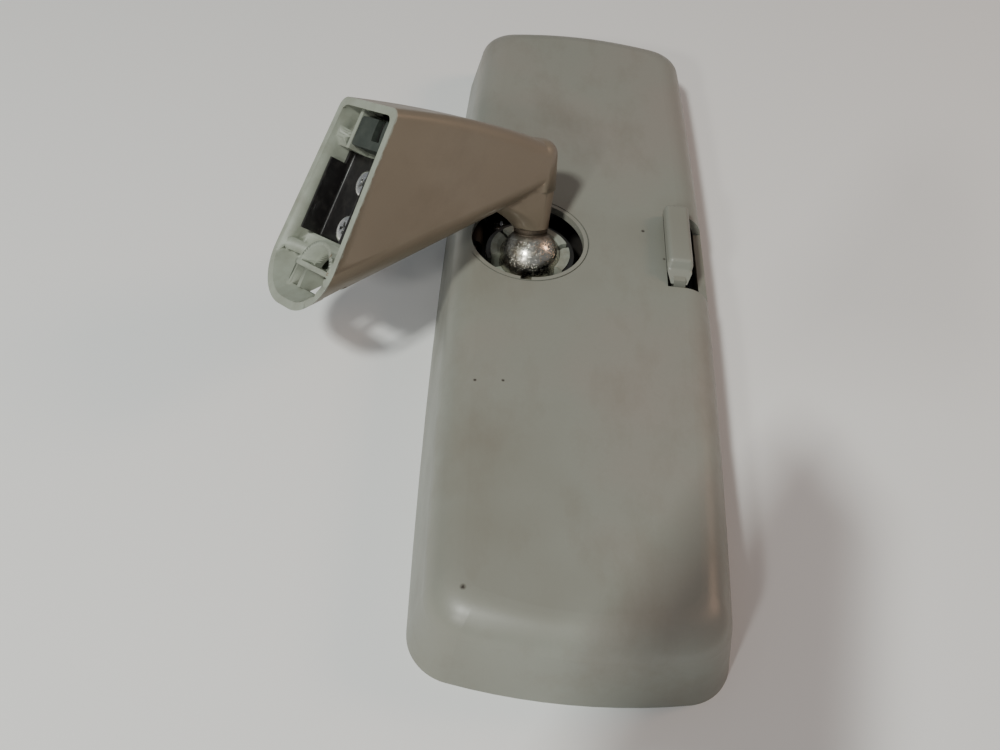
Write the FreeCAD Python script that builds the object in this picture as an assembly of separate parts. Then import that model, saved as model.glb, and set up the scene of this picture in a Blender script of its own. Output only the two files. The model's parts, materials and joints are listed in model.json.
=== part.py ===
"""Interior rear-view mirror with a day/night lever, a ball joint and a hollow windscreen foot.

The mirror lies on its glass face. Millimetres, +Z up.
  origin  centre of the mirror glass, on its front face, which looks down
  +Z      away from the glass, towards the windscreen when the mirror is in use
  +Y      along the mirror's length
  +X      towards the mirror's lower edge, where the day/night lever is
The foot is drawn in its own frame and then leaned, about the centre of its ball, to how it is set.
"""
import FreeCAD
import Part
import math
import os

V = FreeCAD.Vector
os.makedirs("parts", exist_ok=True)

# ---------------------------------------------------------------- housing and glass
mirror_length = 223.0
mirror_width = 72.0
housing_depth = 18.9        # from the glass face to the back face
side_bow = 2.3              # how far the long sides bulge
end_bow = 4.2               # how far the short ends bulge
corner_radius = 11.0
wall = 2.0
draft_angle = 11.0          # the side walls lean in by this, degrees
back_round = 7.5            # radius of the back edges
lip_thickness = 0.8
lip_overlap = 1.2           # how far the lip covers the glass
glass_gap = 1.3             # glass edge to housing wall
glass_thin_edge = 1.9
glass_thick_edge = 4.4      # the glass is a prism, thick along the lever's side
film_thickness = 0.3

# ---------------------------------------------------------------- ball joint
ball_x = -13.4
ball_y = 4.4
ball_z = 12.9
ball_diameter = 16.0
ball_fit = 0.05
ball_bore_clear = 0.56      # ball to its hole in the carrier
hole_x = -14.4              # the hole is a little off the ball
hole_y = 5.4
hole_gap = 4.2              # hole's edge to the collet
ring_groove_offset = 1.4    # groove round the hole, from the hole's edge
ring_groove_width = 0.35
ring_groove_depth = 0.45
key_notch_width = 2.8       # notch in the hole's near edge
key_notch_depth = 0.9
collet_wall = 2.4           # from the ball to the collet's outside
collet_mouth_depth = 1.0    # bevel inside the collet's top
collet_above = 2.6          # collet's fingers above the ball's centre
collet_slots = 6
collet_slot_width = 1.5
collet_slot_angle = 20.0    # first slot, from +X, degrees
low_fingers = 2             # fingers on the near side that end below the ball's middle
low_finger_drop = 0.8
flange_step = 1.5           # flange beyond the collet
flange_wall = 0.8           # the carrier's rim round the flange
flange_height = 1.5
clamp_height = 1.8
clamp_thickness = 1.1
retainer_thickness = 1.3
retainer_bolt_offset = 3.9  # screws beyond the flange
retainer_boss_radius = 2.6
retainer_arm_width = 4.0
retainer_head_diameter = 4.4
retainer_head_height = 1.5
retainer_screws = 3
retainer_screw_diameter = 2.5
retainer_screw_angle = 0.0
running_gap = 0.25          # between parts that turn past each other
pin_fit = 0.05              # radial clearance of a pin in its bore

# ---------------------------------------------------------------- carrier, hinge and lever
carrier_floor = 5.2
carrier_thickness = 1.8
hinge_gap = 3.0             # hinge's axis beyond the flange
hinge_z = 8.4
hinge_pin_diameter = 2.5
hinge_pin_length = 44.0
knuckle_diameter = 5.0
knuckle_length = 12.0
lug_thickness = 3.0
lug_half_width = 3.0
lug_reach = 3.0             # lug beyond its pin's middle
glass_rib_places = (-0.82, -0.55, 0.55, 0.82)   # along half the length
spring_stud_radius = 1.2
spring_stud_length = 3.0
carrier_corner = 5.0
lever_x = 26.0
lever_z = 9.5
lever_pin_diameter = 2.0
hub_diameter = 5.6
notch_left = 21.6
notch_low_y = -7.0
notch_length = 28.0
notch_floor = 13.0
lever_gap = 0.8             # lever to the ends of its notch
tab_rise = 4.8              # tab's top above the housing's back
tab_thickness = 6.9
tab_slope = 4.2             # how far the tab's near end leans in
tab_round = 1.2
tab_clear = 0.3             # tab's underside above the housing's back
tab_centre_x = 24.35
web_thickness = 3.0
crank_reach = 5.6
crank_drop = 1.5
crank_nose_radius = 1.25
crank_width = 8.0
fork_gap = 0.35
fork_wall = 1.2
spring_thickness = 0.4
spring_width = 4.0
spring_foot_x = 7.0

# ---------------------------------------------------------------- foot
foot_lean = 27.5            # neck from the mirror's back normal, degrees
foot_lean_direction = 98.5  # which way it leans, from +X, degrees
foot_turn = 119.9           # turn about the neck, degrees
neck_radius = 4.5
collar_clear = 0.4          # collar's top above the ball's top
collar_length = 1.9
spigot_share = 0.62         # spigot's radius as a share of the neck's
stud_depth = 10.0           # stud pressed into the neck
rim_reach = 59.6            # centre of the open rim, from the neck's axis
rim_height = 20.2           # centre of the open rim, above the ball's centre
rim_length = 49.4
rim_rake = 27.6             # rim's plane from the neck, degrees
rim_half_width_low = 13.9
rim_half_width_high = 12.0
rim_round_low = 11.5
rim_round_high = 2.6
foot_wall = 1.8
nose_radius = 5.8
nose_bottom = 18.4
nose_top = 31.0
nose_round = 4.0
top_bulge = 1.2
cavity_end = 0.66           # how far the hollow goes from the rim towards the nose
shelf_depth = 8.0           # moulded shelf under the clip, below the rim
shelf_thickness = 4.0
clip_length = 20.8
clip_to_latch = 1.0         # gap between the clip and the latch block
clip_width = 19.0
clip_wall_height = 5.4
clip_lip = 1.7              # near wall's lip, turned in over the button
clip_lip_drop = 2.0         # lip below the rim
clip_sheet = 0.9
clip_screw_inset = 3.7      # lower screw from the clip's low end
clip_screw_spacing = 10.9
clip_step_length = 3.2      # far wall stops short of the clip's high end
clip_screw_side = -2.4      # screws off the clip's middle
clip_screw_diameter = 4.0
clip_screw_length = 5.5
screw_head_diameter = 6.8
screw_head_height = 2.2
seal_diameter = 7.2         # dab of sealing lacquer beside each screw
seal_height = 1.2
seal_offset = 3.6           # seal's middle from the screw's axis
seal_fit = 0.05
latch_length = 8.4          # from the shelf's end to the clip's side of the block
latch_end_gap = 1.4         # shelf's high end to the rim's
latch_stop_gap = 1.4        # block's high end to the shelf's
latch_side = 4.6            # the block's free side, across the foot
latch_depth = 2.4
latch_slot_width = 3.0
latch_arc = 12.0            # radius of the block's curved slot
latch_arc_side = -14.2      # middle of that curve, across the foot
leaf_thickness = 0.6
leaf_height = 3.0
ledge_drop = 2.8            # ledge between the clip and the upper pocket, below the rim
ledge_length = 2.6
pocket_floor = 5.5          # shallow floors at the foot's two ends, below the rim
rib_thickness = 1.2
rib_drop = 2.2              # tops of the ribs at the low end, below the rim
rib_from_shelf = 7.0
rib_end = 6.4               # end of the cross rib, towards the foot's far side
box_rib_near = 0.8          # near one of the two short ribs, across the foot
box_rib_length = 4.6
arch_radius = 7.2
arch_side = -1.8            # middle of the arched rib, across the foot
floor_thickness = 2.0


# ---------------------------------------------------------------- helpers
def save(name, shape):
    shape.exportStep("parts/" + name + ".step")


def box(x0, x1, y0, y1, z0, z1):
    return Part.makeBox(x1 - x0, y1 - y0, z1 - z0, V(x0, y0, z0))


def tube(x, y, z0, z1, outer, inner):
    ring = Part.makeCylinder(outer, z1 - z0, V(x, y, z0))
    return ring.cut(Part.makeCylinder(inner, z1 - z0 + 2, V(x, y, z0 - 1)))


def rod_y(x, y0, y1, z, radius):
    return Part.makeCylinder(radius, y1 - y0, V(x, y0, z), V(0, 1, 0))


def plate_xz(points, y0, y1):
    """A plate with the given outline in X and Z, from y0 to y1."""
    corners = [V(x, y0, z) for x, z in points]
    face = Part.Face(Part.makePolygon(corners + corners[:1]))
    return face.extrude(V(0, y1 - y0, 0))


def edges_at(shape, test):
    """Edges of which every point tried passes the test."""
    chosen = []
    for edge in shape.Edges:
        first, last = edge.ParameterRange
        spots = [edge.valueAt(first + (last - first) * k / 4) for k in range(5)]
        if all(test(spot) for spot in spots):
            chosen.append(edge)
    return chosen


def outline(inset, z):
    """The mirror's bowed outline, drawn smaller by inset, as a wire at height z."""
    half_x = mirror_width / 2 - inset
    half_y = mirror_length / 2 - inset
    corner_x = half_x - side_bow
    corner_y = half_y - end_bow
    corners = [V(corner_x, -corner_y, 0), V(corner_x, corner_y, 0),
               V(-corner_x, corner_y, 0), V(-corner_x, -corner_y, 0)]
    middles = [V(half_x, 0, 0), V(0, half_y, 0), V(-half_x, 0, 0), V(0, -half_y, 0)]
    arcs = []
    for k in range(4):
        arcs.append(Part.Arc(corners[k], middles[k], corners[(k + 1) % 4]).toShape())
    block = Part.Face(Part.Wire(arcs)).extrude(V(0, 0, 1))
    uprights = edges_at(block, lambda p: any((V(p.x, p.y, 0) - c).Length < 0.01 for c in corners))
    block = block.makeFillet(max(corner_radius - inset / 2, 2.0), uprights)
    bottom = min(block.Faces, key=lambda face: face.CenterOfMass.z)
    wire = bottom.OuterWire
    wire.translate(V(0, 0, z))
    return wire


def pane(inset, z0, z1):
    return Part.Face(outline(inset, z0)).extrude(V(0, 0, z1 - z0))


collet_radius = ball_diameter / 2 + collet_wall
hole_radius = collet_radius + hole_gap
ring_groove_radius = hole_radius + ring_groove_offset
flange_radius = collet_radius + flange_step
retainer_bolt_radius = flange_radius + retainer_bolt_offset
hinge_x = ball_x - flange_radius - hinge_gap
draft = math.radians(draft_angle)
round_centre = housing_depth - back_round
round_start = round_centre + back_round * math.sin(draft)
centre_inset = (round_start + lip_thickness) * math.tan(draft) + back_round * math.cos(draft)


def housing_body(inset):
    """The housing's outer form, drawn smaller by inset all round: leaning walls and a rounded back."""
    floor = -lip_thickness if inset == 0 else 0.0
    radius = back_round - inset
    sections = []
    for k in range(7):
        angle = draft + (math.pi / 2 - draft) * k / 6
        step_in = centre_inset - radius * math.cos(angle)
        sections.append(outline(step_in, round_centre + radius * math.sin(angle)))
    walls = Part.makeLoft([outline(inset, floor), sections[0]], True, True)
    back = Part.makeLoft(sections, True, False)
    return walls.fuse(back)


# ---------------------------------------------------------------- glass and film
glass_inset = wall + glass_gap


def prism_height(x):
    """Height of the glass's back at x: a straight wedge across the width."""
    half = mirror_width / 2
    return glass_thin_edge + (glass_thick_edge - glass_thin_edge) * (x + half) / (2 * half)


def wedge(base, top_gap):
    """Everything between base and the prism's back, raised by top_gap."""
    half = mirror_width / 2
    long_side = mirror_length / 2
    points = [(-half, base), (half, base), (half, prism_height(half) + top_gap),
              (-half, prism_height(-half) + top_gap)]
    return plate_xz(points, -long_side, long_side)


def prism_glass():
    return pane(glass_inset, 0, glass_thick_edge + 1).common(wedge(0, 0))


def backing_film():
    above = wedge(0, film_thickness).cut(wedge(-1, 0))
    return pane(glass_inset + 0.5, 0, glass_thick_edge + 2).common(above)


# ---------------------------------------------------------------- housing
notch_high_y = notch_low_y + notch_length
lever_low_y = notch_low_y + lever_gap
lever_high_y = notch_high_y - lever_gap
inner_back = housing_depth - wall
hinge_low_y = ball_y - hinge_pin_length / 2
hinge_high_y = ball_y + hinge_pin_length / 2
film_clear = 0.3


def lug(x, z, y0):
    """A moulded lug that hangs from the housing's back and holds a pin."""
    return box(x - lug_half_width, x + lug_half_width, y0, y0 + lug_thickness, z - lug_reach, housing_depth)


def cross_rib(y):
    """A moulded rib across the housing that backs up the glass."""
    half = mirror_width / 2
    low = film_thickness + film_clear
    points = [(-half, prism_height(-half) + low), (half, prism_height(half) + low),
              (half, housing_depth), (-half, housing_depth)]
    rib = plate_xz(points, y - rib_thickness / 2, y + rib_thickness / 2)
    arch = mirror_width * 0.3
    return rib.cut(box(-arch, arch, y - 2, y + 2, 0, housing_depth * 0.6))


def rear_housing():
    shell = housing_body(0).cut(housing_body(wall))
    shell = shell.cut(pane(glass_inset + lip_overlap, -lip_thickness - 1, 1))
    extras = []
    for y0 in (hinge_low_y, hinge_high_y - lug_thickness):
        extras.append(lug(hinge_x, hinge_z, y0))
    for y0 in (notch_low_y - lug_thickness, notch_high_y):
        extras.append(lug(lever_x, lever_z, y0))
    for share in glass_rib_places:
        extras.append(cross_rib(share * mirror_length / 2))
    spring_y = lever_low_y + spring_width / 2
    stud = Part.makeCylinder(spring_stud_radius, spring_stud_length + wall / 2,
                             V(spring_foot_x, spring_y, inner_back - spring_stud_length))
    extras.append(stud)
    middle_of_wall = housing_body(wall / 2)
    for extra in extras:
        shell = shell.fuse(extra.common(middle_of_wall))
    for x, z, y0, y1, radius in (
            (hinge_x, hinge_z, hinge_low_y, hinge_high_y, hinge_pin_diameter / 2),
            (lever_x, lever_z, notch_low_y - lug_thickness, notch_high_y + lug_thickness,
             lever_pin_diameter / 2)):
        shell = shell.cut(rod_y(x, y0 - 1, y1 + 1, z, radius + pin_fit))
    shell = shell.cut(Part.makeCylinder(hole_radius, 3 * wall, V(hole_x, hole_y, inner_back - wall)))
    groove_top = housing_depth + 1
    shell = shell.cut(tube(hole_x, hole_y, housing_depth - ring_groove_depth, groove_top,
                           ring_groove_radius, ring_groove_radius - ring_groove_width))
    key = box(hole_x - key_notch_width / 2, hole_x + key_notch_width / 2,
              hole_y - hole_radius - key_notch_depth, hole_y, inner_back - wall, groove_top)
    shell = shell.cut(key)
    beyond = mirror_width
    notch = box(notch_left, beyond, notch_low_y, notch_high_y, notch_floor, housing_depth + 1)
    return shell.cut(notch)


# ---------------------------------------------------------------- carrier and ball socket
carrier_top = carrier_floor + carrier_thickness
collet_floor = carrier_top + pin_fit
collet_top = ball_z + collet_above
flange_top = collet_floor + flange_height
retainer_floor = flange_top + running_gap
retainer_top = retainer_floor + retainer_thickness
tab_top = housing_depth + tab_rise
crank_x = lever_x - crank_reach
crank_z = lever_z - crank_drop
fork_y0 = ball_y + 2.0
seat_radius = ball_diameter / 2 + ball_fit
ball_bore = math.sqrt(seat_radius ** 2 - (ball_z - carrier_top) ** 2) + ball_bore_clear


def around_ball(count, radius, turn):
    """Points spaced evenly on a circle about the ball."""
    spots = []
    for k in range(count):
        angle = math.radians(turn + 360.0 * k / count)
        spots.append((ball_x + radius * math.cos(angle), ball_y + radius * math.sin(angle)))
    return spots


def boss(x, y, z0, z1):
    """The round pad about one of the retainer's screws."""
    return Part.makeCylinder(retainer_boss_radius, z1 - z0, V(x, y, z0))


def socket_carrier():
    """A plate that hinges on one side and is lifted by the lever on the other."""
    half = hinge_pin_length / 2 - lug_thickness - running_gap
    plate = box(hinge_x, crank_x + crank_nose_radius, ball_y - half, ball_y + half,
                carrier_floor, carrier_top)
    uprights = edges_at(plate, lambda p: p.x > 0 and abs(abs(p.y - ball_y) - half) < 0.01)
    plate = plate.makeFillet(carrier_corner, [e for e in uprights if abs(e.tangentAt(0).z) > 0.9])
    for low in (hinge_low_y + lug_thickness + running_gap,
                hinge_high_y - lug_thickness - running_gap - knuckle_length):
        plate = plate.fuse(rod_y(hinge_x, low, low + knuckle_length, hinge_z, knuckle_diameter / 2))
    plate = plate.fuse(tube(ball_x, ball_y, carrier_top - 0.5, retainer_floor,
                            flange_radius + running_gap + flange_wall, flange_radius + running_gap))
    for x, y in around_ball(retainer_screws, retainer_bolt_radius, retainer_screw_angle):
        plate = plate.fuse(boss(x, y, carrier_floor, retainer_floor))
    slot_half = crank_nose_radius + fork_gap
    slot_end = crank_x - crank_nose_radius - 2 * fork_gap
    fork = box(slot_end - fork_wall, crank_x + crank_nose_radius, fork_y0, fork_y0 + crank_width,
               carrier_floor, crank_z + slot_half + fork_wall)
    plate = plate.fuse(fork)
    plate = plate.cut(box(slot_end, lever_x, fork_y0 - 1, fork_y0 + crank_width + 1,
                          crank_z - slot_half, crank_z + slot_half))
    plate = plate.cut(Part.makeCylinder(ball_bore, 20, V(ball_x, ball_y, 0)))
    for x, y in around_ball(retainer_screws, retainer_bolt_radius, retainer_screw_angle):
        plate = plate.cut(Part.makeCylinder(retainer_screw_diameter / 2 + pin_fit, 20, V(x, y, 0)))
    gap = rod_y(hinge_x, hinge_low_y + lug_thickness + running_gap + knuckle_length,
                hinge_high_y - lug_thickness - running_gap - knuckle_length, hinge_z,
                knuckle_diameter / 2 + running_gap)
    plate = plate.cut(gap)
    return plate.cut(rod_y(hinge_x, hinge_low_y, hinge_high_y, hinge_z,
                           hinge_pin_diameter / 2 + pin_fit))


def ball_socket():
    """A split collet whose fingers close over the ball's middle."""
    body = Part.makeCylinder(collet_radius, collet_top - collet_floor, V(ball_x, ball_y, collet_floor))
    body = body.fuse(Part.makeCylinder(flange_radius, flange_height, V(ball_x, ball_y, collet_floor)))
    body = body.cut(Part.makeSphere(seat_radius, V(ball_x, ball_y, ball_z)))
    mouth_floor = V(ball_x, ball_y, collet_top - collet_mouth_depth)
    mouth = Part.makeCone(seat_radius * 0.9, collet_radius - 0.6, 1.6, mouth_floor)
    body = body.cut(mouth)
    slot_floor = flange_top + 1.0
    for k in range(collet_slots // 2):
        slot = box(-20, 20, -collet_slot_width / 2, collet_slot_width / 2, slot_floor, collet_top + 1)
        slot.rotate(V(0, 0, 0), V(0, 0, 1), 360.0 * k / collet_slots + collet_slot_angle)
        slot.translate(V(ball_x, ball_y, 0))
        body = body.cut(slot)
    return body.cut(low_finger_space(ball_z - low_finger_drop, collet_radius + 1))


def low_finger_space(bottom, radius):
    """The wedge above the fingers that end low, from that height up."""
    finger = 360.0 / collet_slots
    space = Part.makeCylinder(radius, ball_diameter, V(0, 0, bottom), V(0, 0, 1), low_fingers * finger)
    space.rotate(V(0, 0, 0), V(0, 0, 1), collet_slot_angle - (low_fingers + 1) * finger)
    space.translate(V(ball_x, ball_y, 0))
    return space


def clamp_ring():
    """An open steel ring that squeezes the collet's tall fingers."""
    top = collet_top - 0.5
    ring = tube(ball_x, ball_y, top - clamp_height, top,
                collet_radius + pin_fit + clamp_thickness, collet_radius + pin_fit)
    return ring.cut(low_finger_space(top - clamp_height - 1, collet_radius + 4))


def socket_retainer():
    """The ring that holds the collet's flange down on the carrier."""
    ring = tube(ball_x, ball_y, retainer_floor, retainer_top,
                flange_radius + running_gap + flange_wall, collet_radius + 0.4)
    for x, y in around_ball(retainer_screws, retainer_bolt_radius, retainer_screw_angle):
        ring = ring.fuse(boss(x, y, retainer_floor, retainer_top))
        arm = box(0, retainer_bolt_radius - flange_radius, -retainer_arm_width / 2, retainer_arm_width / 2,
                  retainer_floor, retainer_top)
        arm.rotate(V(0, 0, 0), V(0, 0, 1), math.degrees(math.atan2(y - ball_y, x - ball_x)))
        scale = flange_radius / retainer_bolt_radius
        arm.translate(V(ball_x + (x - ball_x) * scale, ball_y + (y - ball_y) * scale, 0))
        ring = ring.fuse(arm)
    ring = ring.cut(Part.makeCylinder(collet_radius + 0.4, 20, V(ball_x, ball_y, 0)))
    for x, y in around_ball(retainer_screws, retainer_bolt_radius, retainer_screw_angle):
        ring = ring.cut(Part.makeCylinder(retainer_screw_diameter / 2 + pin_fit, 20, V(x, y, 0)))
    return ring


def pan_screw(diameter, length, head_diameter, head_height):
    """A cross-recess pan head screw, its head's underside at the origin, pointing down."""
    shank = Part.makeCylinder(diameter / 2, length, V(0, 0, -length))
    shank = shank.makeChamfer(diameter * 0.2, edges_at(shank, lambda p: p.z < -length + 0.01)[:1])
    head = Part.makeCylinder(head_diameter / 2, head_height)
    head = head.makeFillet(head_height * 0.6, edges_at(head, lambda p: p.z > head_height - 0.01)[:1])
    screw = head.fuse(shank)
    arm = head_diameter * 0.3
    slot = head_diameter * 0.07
    recess = head_height * 0.55
    screw = screw.cut(box(-arm, arm, -slot, slot, head_height - recess, head_height + 1))
    return screw.cut(box(-slot, slot, -arm, arm, head_height - recess, head_height + 1))


def retainer_screw_set():
    """The screws that hold the retainer on the carrier, as one group."""
    screws = []
    for x, y in around_ball(retainer_screws, retainer_bolt_radius, retainer_screw_angle):
        length = retainer_top - carrier_floor - 0.3
        screw = pan_screw(retainer_screw_diameter, length, retainer_head_diameter, retainer_head_height)
        screw.translate(V(x, y, retainer_top))
        screws.append(screw)
    return Part.makeCompound(screws)


def hinge_pin():
    return rod_y(hinge_x, hinge_low_y + 0.2, hinge_high_y - 0.2, hinge_z, hinge_pin_diameter / 2)


# ---------------------------------------------------------------- day/night lever
def tab_section(half, y0, y1, z):
    """A level rectangle through the finger tab."""
    ring = [V(tab_centre_x - half, y0, z), V(tab_centre_x + half, y0, z),
            V(tab_centre_x + half, y1, z), V(tab_centre_x - half, y1, z)]
    return Part.makePolygon(ring + ring[:1])


def day_night_lever():
    """A finger tab on a hub, with a short crank that lifts the carrier."""
    hub_low = lever_low_y
    hub_high = lever_high_y
    hub = rod_y(lever_x, hub_low, hub_high, lever_z, hub_diameter / 2)
    web_low = lever_low_y + spring_width + 0.5
    root = plate_xz([(lever_x - web_thickness / 2, lever_z), (lever_x + web_thickness / 2, lever_z),
                     (tab_centre_x + web_thickness / 2, housing_depth + 1.5),
                     (tab_centre_x - web_thickness / 2, housing_depth + 1.5)], lever_low_y, lever_high_y)
    spring_window = box(0, mirror_width, lever_low_y - 1, web_low, lever_z, notch_floor + 1.5)
    root = root.cut(spring_window)
    head_low = housing_depth + tab_clear
    slope = tab_slope
    half = tab_thickness / 2
    middle = head_low + (tab_top - head_low) * 0.5
    wires = [tab_section(half * 0.6, lever_low_y, lever_high_y, head_low),
             tab_section(half, lever_low_y + slope * 0.75, lever_high_y - 0.3, middle),
             tab_section(half * 0.85, lever_low_y + slope, lever_high_y - 0.6, tab_top)]
    head = Part.makeLoft(wires, True, True)
    head = head.makeFillet(tab_round, edges_at(head, lambda p: p.z > head_low + 0.3))
    nose = rod_y(crank_x, fork_y0, fork_y0 + crank_width, crank_z, crank_nose_radius)
    arm_half = 0.8
    arm = plate_xz([(crank_x, crank_z - arm_half), (lever_x, lever_z - arm_half),
                    (lever_x, lever_z + arm_half), (crank_x, crank_z + arm_half)],
                   fork_y0, fork_y0 + crank_width)
    lever = hub.fuse(root).fuse(head).fuse(nose).fuse(arm)
    return lever.cut(rod_y(lever_x, notch_low_y - 5, notch_high_y + 5, lever_z,
                           lever_pin_diameter / 2 + pin_fit))


def lever_pin():
    return rod_y(lever_x, notch_low_y - lug_thickness + 0.2, notch_high_y + lug_thickness - 0.2,
                 lever_z, lever_pin_diameter / 2)


def detent_spring():
    """A flat spring from the housing's back that presses beside the lever's hub."""
    foot_z = inner_back - 0.05
    tip_z = lever_z + hub_diameter / 2 + running_gap
    t = spring_thickness
    low = lever_low_y + 0.2
    points = [(spring_foot_x - 3, foot_z), (spring_foot_x - 3, foot_z - t), (spring_foot_x + 4, foot_z - t),
              (lever_x - 3, tip_z), (lever_x + 1.2, tip_z), (lever_x + 1.2, tip_z + t),
              (lever_x - 3, tip_z + t), (spring_foot_x + 4, foot_z)]
    strip = plate_xz(points, low, low + spring_width - 0.4)
    foot_middle = V(spring_foot_x, lever_low_y + spring_width / 2, inner_back - 6)
    hole = Part.makeCylinder(spring_stud_radius + pin_fit, 10, foot_middle)
    return strip.cut(hole)


# ---------------------------------------------------------------- foot, in its own frame
# Foot frame: origin at the ball's centre, +Z up the neck, +X towards the open rim, Y across.
rake = math.radians(rim_rake)
rim_along = V(-math.sin(rake), 0, math.cos(rake))
rim_out = V(math.cos(rake), 0, math.sin(rake))
rim_centre = V(rim_reach, 0, rim_height)
rim_low = rim_centre - rim_along * (rim_length / 2)
rim_high = rim_centre + rim_along * (rim_length / 2)
collar_top = ball_diameter / 2 + collar_clear
collar_bottom = collar_top - collar_length
spigot_radius = neck_radius * spigot_share
latch_high = rim_length / 2 - latch_end_gap
latch_low = latch_high - latch_length
clip_high = latch_low - clip_to_latch
clip_low = clip_high - clip_length
clip_screw_low = clip_low + clip_screw_inset
clip_screw_high = clip_screw_low + clip_screw_spacing
nose_low_point = V(0, 0, nose_bottom)
nose_high_point = V(0, 0, nose_top)


def lay_foot(shape):
    """Move a shape from the foot's frame to where the foot is set."""
    moved = shape.copy()
    moved.rotate(V(0, 0, 0), V(0, 0, 1), foot_turn)
    moved.rotate(V(0, 0, 0), V(0, 1, 0), foot_lean)
    moved.rotate(V(0, 0, 0), V(0, 0, 1), foot_lean_direction)
    moved.translate(V(ball_x, ball_y, ball_z))
    return moved


def rim_shape(shape):
    """Move a shape from the rim's frame to the foot's frame.

    In the rim's frame +X runs along the open rim to its high end, +Z looks out of the
    hollow and Z is 0 at the rim, and +Y is the foot's -Y side.
    """
    moved = shape.copy()
    turn = FreeCAD.Rotation(rim_along, V(0, -1, 0), rim_out, "ZXY")
    moved.Placement = FreeCAD.Placement(rim_centre, turn).multiply(moved.Placement)
    return moved


def rounded_section(low, high, half_low, half_high, round_low, round_high):
    """A closed wire across the foot, from its low point to its high point."""
    up = (high - low).normalize()
    across = V(0, 1, 0)

    def at(height, side, base):
        return base + up * height + across * side
    bend = math.sqrt(0.5)
    wire_edges = []
    r = round_low
    s = round_high
    arc_low_right = Part.Arc(at(0, half_low - r, low), at(r * (1 - bend), half_low - r * (1 - bend), low),
                             at(r, half_low, low)).toShape()
    arc_high_right = Part.Arc(at(-s, half_high, high),
                              at(-s * (1 - bend), half_high - s * (1 - bend), high),
                              at(0, half_high - s, high)).toShape()
    arc_high_left = Part.Arc(at(0, -half_high + s, high),
                             at(-s * (1 - bend), -half_high + s * (1 - bend), high),
                             at(-s, -half_high, high)).toShape()
    arc_low_left = Part.Arc(at(r, -half_low, low), at(r * (1 - bend), -half_low + r * (1 - bend), low),
                            at(0, -half_low + r, low)).toShape()
    wire_edges.append(arc_low_right)
    wire_edges.append(Part.makeLine(at(r, half_low, low), at(-s, half_high, high)))
    wire_edges.append(arc_high_right)
    wire_edges.append(Part.makeLine(at(0, half_high - s, high), at(0, -half_high + s, high)))
    wire_edges.append(arc_high_left)
    wire_edges.append(Part.makeLine(at(-s, -half_high, high), at(r, -half_low, low)))
    wire_edges.append(arc_low_left)
    wire_edges.append(Part.makeLine(at(0, -half_low + r, low), at(0, half_low - r, low)))
    return Part.Wire(wire_edges)


def foot_section(share, inset):
    """The foot's section at a share of the way from the rim (0) to the nose (1)."""
    low = rim_low + (nose_low_point - rim_low) * share
    high = rim_high + (nose_high_point - rim_high) * share
    bulge = top_bulge * 4 * share * (1 - share)
    up = (high - low).normalize()
    high = high + up * (bulge - inset)
    low = low + up * inset
    half_low = rim_half_width_low + (nose_radius - rim_half_width_low) * share - inset
    half_high = rim_half_width_high + (nose_radius - rim_half_width_high) * share - inset
    round_low = rim_round_low + (nose_round - rim_round_low) * share - inset * 0.8
    round_high = rim_round_high + (nose_round - rim_round_high) * share - inset * 0.4
    return rounded_section(low, high, half_low, half_high, max(round_low, 0.6), max(round_high, 0.6))


def foot_form(inset, shares):
    return Part.makeLoft([foot_section(share, inset) for share in shares], True, False)


def stadium(back, front, half_width, z):
    """A long round-ended wire in a plane of constant z."""
    rear = V(back + half_width, 0, z)
    fore = V(max(front - half_width, back + half_width + 0.2), 0, z)
    side = V(0, half_width, 0)
    end = V(half_width, 0, 0)
    return Part.Wire([Part.Arc(rear + side, rear - end, rear - side).toShape(),
                      Part.makeLine(rear - side, fore - side),
                      Part.Arc(fore - side, fore + end, fore + side).toShape(),
                      Part.makeLine(fore + side, rear + side)])


def neck_form():
    """The neck, which flares towards the rim where it runs into the foot."""
    heights = [collar_top + (nose_bottom + 2 - collar_top) * k / 3 for k in range(4)]
    backs = [neck_radius + (nose_radius - 0.1 - neck_radius) * k / 3 for k in range(4)]
    fronts = [neck_radius + 0.2, neck_radius + 5.0, neck_radius + 14.0, neck_radius + 25.0]
    wires = [stadium(-b, f, b, z) for b, f, z in zip(backs, fronts, heights)]
    return Part.makeLoft(wires, True, False)


def nose_form():
    """The rounded end of the foot over the neck."""
    post = Part.makeCylinder(nose_radius, nose_top - nose_bottom, nose_low_point)
    return post.makeFillet(nose_round - 0.05, edges_at(post, lambda p: p.z > nose_top - 0.01)[:1])


def in_rim(x0, x1, y0, y1, z0, z1):
    return rim_shape(box(x0, x1, y0, y1, z0, z1))


clip_base = -shelf_depth + 0.05
clip_fold = 0.8             # inner radius of the clip's folds
clip_floor = -shelf_depth + clip_sheet
shelf_low = clip_low - 1.0
shelf_high = latch_high


def clip_block():
    """The room that the clip takes in the foot, as a block with the clip's rounded folds."""
    half = clip_width / 2
    block = box(clip_low, clip_high, -half, half, clip_base, -clip_lip_drop)
    folds = edges_at(block, lambda p: abs(abs(p.y) - half) < 0.01 and abs(p.z - clip_base) < 0.01)
    return block.makeFillet(clip_sheet + clip_fold, folds)


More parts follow.
